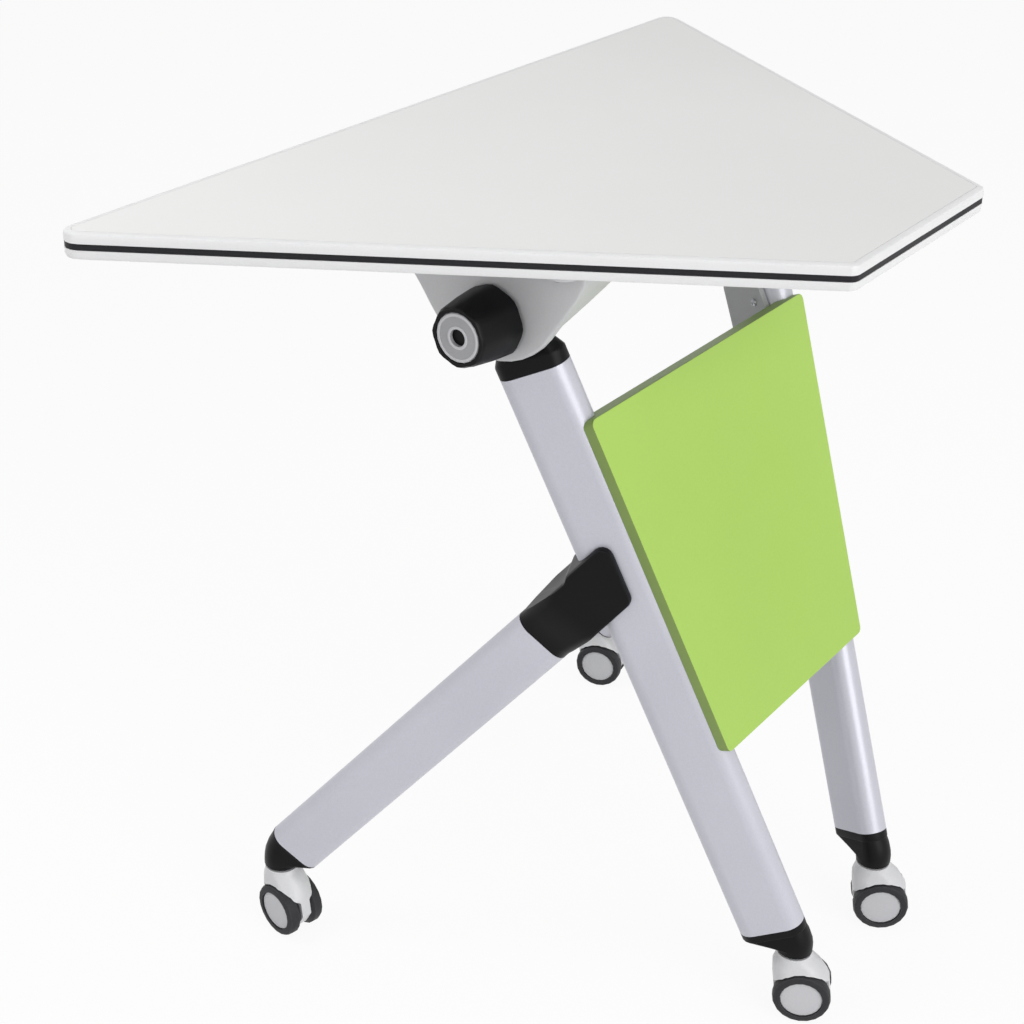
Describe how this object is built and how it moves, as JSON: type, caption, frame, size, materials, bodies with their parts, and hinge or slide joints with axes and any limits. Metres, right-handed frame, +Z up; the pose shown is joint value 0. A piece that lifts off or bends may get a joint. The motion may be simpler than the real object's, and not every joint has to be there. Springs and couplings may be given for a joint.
{
  "type": "flip top training table",
  "caption": "Training table with a trapezoid top that tips up on a lockable flip axis, splayed oval tube legs on twin wheel casters, and a modesty panel",
  "frame": {"origin": "on the floor, in the middle of the box round the whole table", "axes": "X along the parallel edges of the top, +Y to the modesty panel side, -Y to the user's long edge, +Z up"},
  "size_m": [0.85, 0.5408, 0.736],
  "materials": {
    "top_laminate": "smooth matte white laminate on board",
    "edge_white": "satin white edge band",
    "edge_stripe": "charcoal stripe",
    "leg_silver": "fine silver powder coat on steel tube",
    "bracket_grey": "satin grey die casting",
    "black_plastic": "fine grained black",
    "grey_plastic": "grey moulded plastic",
    "mid_grey": "satin mid grey",
    "hood_pale": "pale grey moulded plastic",
    "tyre_black": "dark grey soft tread",
    "panel_green": "matte lime green laminate on board",
    "plain_steel": "plain zinc plated steel"
  },
  "bodies": {
    "frame": {"cross_tube": "plain_steel", "modesty_panel": "panel_green", "leg_head_right": "black_plastic", "pivot_bolt_right": "plain_steel", "main_leg_right": "leg_silver", "brace_leg_right": "leg_silver", "elbow_joint_right": "black_plastic", "main_foot_cap_right": "black_plastic", "brace_foot_cap_right": "black_plastic", "upper_saddle_right": "mid_grey", "lower_saddle_right": "black_plastic", "leg_head_left": "black_plastic", "pivot_bolt_left": "plain_steel", "main_leg_left": "leg_silver", "brace_leg_left": "leg_silver", "elbow_joint_left": "black_plastic", "main_foot_cap_left": "black_plastic", "brace_foot_cap_left": "black_plastic", "upper_saddle_left": "mid_grey", "lower_saddle_left": "black_plastic"},
    "top": {"table_top": "top_laminate", "edge_band": "edge_white", "edge_stripe": "edge_stripe", "flip_bracket_right": "bracket_grey", "stop_pin_right": "plain_steel", "flip_bracket_left": "bracket_grey", "stop_pin_left": "plain_steel"},
    "knob_right": {"clamp_knob_right": "black_plastic", "knob_cap_right": "mid_grey"},
    "knob_left": {"clamp_knob_left": "black_plastic", "knob_cap_left": "mid_grey"},
    "swivel_main_right": {"caster_hood_main_right": "hood_pale", "caster_stem_main_right": "plain_steel", "caster_axle_main_right": "plain_steel"},
    "wheel_main_right_a": {"caster_tyre_main_right_a": "tyre_black", "caster_hub_main_right_a": "grey_plastic"},
    "wheel_main_right_b": {"caster_tyre_main_right_b": "tyre_black", "caster_hub_main_right_b": "grey_plastic"},
    "swivel_main_left": {"caster_hood_main_left": "hood_pale", "caster_stem_main_left": "plain_steel", "caster_axle_main_left": "plain_steel"},
    "wheel_main_left_a": {"caster_tyre_main_left_a": "tyre_black", "caster_hub_main_left_a": "grey_plastic"},
    "wheel_main_left_b": {"caster_tyre_main_left_b": "tyre_black", "caster_hub_main_left_b": "grey_plastic"},
    "swivel_brace_right": {"caster_hood_brace_right": "hood_pale", "caster_stem_brace_right": "plain_steel", "caster_axle_brace_right": "plain_steel"},
    "wheel_brace_right_a": {"caster_tyre_brace_right_a": "tyre_black", "caster_hub_brace_right_a": "grey_plastic"},
    "wheel_brace_right_b": {"caster_tyre_brace_right_b": "tyre_black", "caster_hub_brace_right_b": "grey_plastic"},
    "swivel_brace_left": {"caster_hood_brace_left": "hood_pale", "caster_stem_brace_left": "plain_steel", "caster_axle_brace_left": "plain_steel"},
    "wheel_brace_left_a": {"caster_tyre_brace_left_a": "tyre_black", "caster_hub_brace_left_a": "grey_plastic"},
    "wheel_brace_left_b": {"caster_tyre_brace_left_b": "tyre_black", "caster_hub_brace_left_b": "grey_plastic"}
  },
  "joints": [
    {"name": "top_flip", "type": "hinge", "parent": "frame", "child": "top", "pos_m": [0, -0.02621, 0.658], "axis": [1, 0, 0], "range_deg": [0, 90]},
    {"name": "knob_right_turn", "type": "hinge", "parent": "frame", "child": "knob_right", "pos_m": [0.2325, -0.02621, 0.658], "axis": [1, 0, 0], "range_deg": [0, 120]},
    {"name": "knob_left_turn", "type": "hinge", "parent": "frame", "child": "knob_left", "pos_m": [-0.2325, -0.02621, 0.658], "axis": [-1, 0, 0], "range_deg": [0, 120]},
    {"name": "swivel_main_right_turn", "type": "hinge", "parent": "frame", "child": "swivel_main_right", "pos_m": [0.07921, 0.22896, 0.0789], "axis": [0, 0, 1], "continuous": true},
    {"name": "wheel_main_right_a_roll", "type": "hinge", "parent": "swivel_main_right", "child": "wheel_main_right_a", "pos_m": [0.07439, 0.23884, 0.0265], "axis": [0.8988, 0.4384, 0], "continuous": true},
    {"name": "wheel_main_right_b_roll", "type": "hinge", "parent": "swivel_main_right", "child": "wheel_main_right_b", "pos_m": [0.07439, 0.23884, 0.0265], "axis": [0.8988, 0.4384, 0], "continuous": true},
    {"name": "swivel_main_left_turn", "type": "hinge", "parent": "frame", "child": "swivel_main_left", "pos_m": [-0.07921, 0.22896, 0.0789], "axis": [0, 0, 1], "continuous": true},
    {"name": "wheel_main_left_a_roll", "type": "hinge", "parent": "swivel_main_left", "child": "wheel_main_left_a", "pos_m": [-0.08488, 0.23839, 0.0265], "axis": [0.8572, 0.515, 0], "continuous": true},
    {"name": "wheel_main_left_b_roll", "type": "hinge", "parent": "swivel_main_left", "child": "wheel_main_left_b", "pos_m": [-0.08488, 0.23839, 0.0265], "axis": [0.8572, 0.515, 0], "continuous": true},
    {"name": "swivel_brace_right_turn", "type": "hinge", "parent": "frame", "child": "swivel_brace_right", "pos_m": [0.26872, -0.21966, 0.0789], "axis": [0, 0, 1], "continuous": true},
    {"name": "wheel_brace_right_a_roll", "type": "hinge", "parent": "swivel_brace_right", "child": "wheel_brace_right_a", "pos_m": [0.27063, -0.20883, 0.0265], "axis": [0.9848, -0.1736, 0], "continuous": true},
    {"name": "wheel_brace_right_b_roll", "type": "hinge", "parent": "swivel_brace_right", "child": "wheel_brace_right_b", "pos_m": [0.27063, -0.20883, 0.0265], "axis": [0.9848, -0.1736, 0], "continuous": true},
    {"name": "swivel_brace_left_turn", "type": "hinge", "parent": "frame", "child": "swivel_brace_left", "pos_m": [-0.26872, -0.21966, 0.0789], "axis": [0, 0, 1], "continuous": true},
    {"name": "wheel_brace_left_a_roll", "type": "hinge", "parent": "swivel_brace_left", "child": "wheel_brace_left_a", "pos_m": [-0.27175, -0.20909, 0.0265], "axis": [0.9613, 0.2756, 0], "continuous": true},
    {"name": "wheel_brace_left_b_roll", "type": "hinge", "parent": "swivel_brace_left", "child": "wheel_brace_left_b", "pos_m": [-0.27175, -0.20909, 0.0265], "axis": [0.9613, 0.2756, 0], "continuous": true}
  ]
}
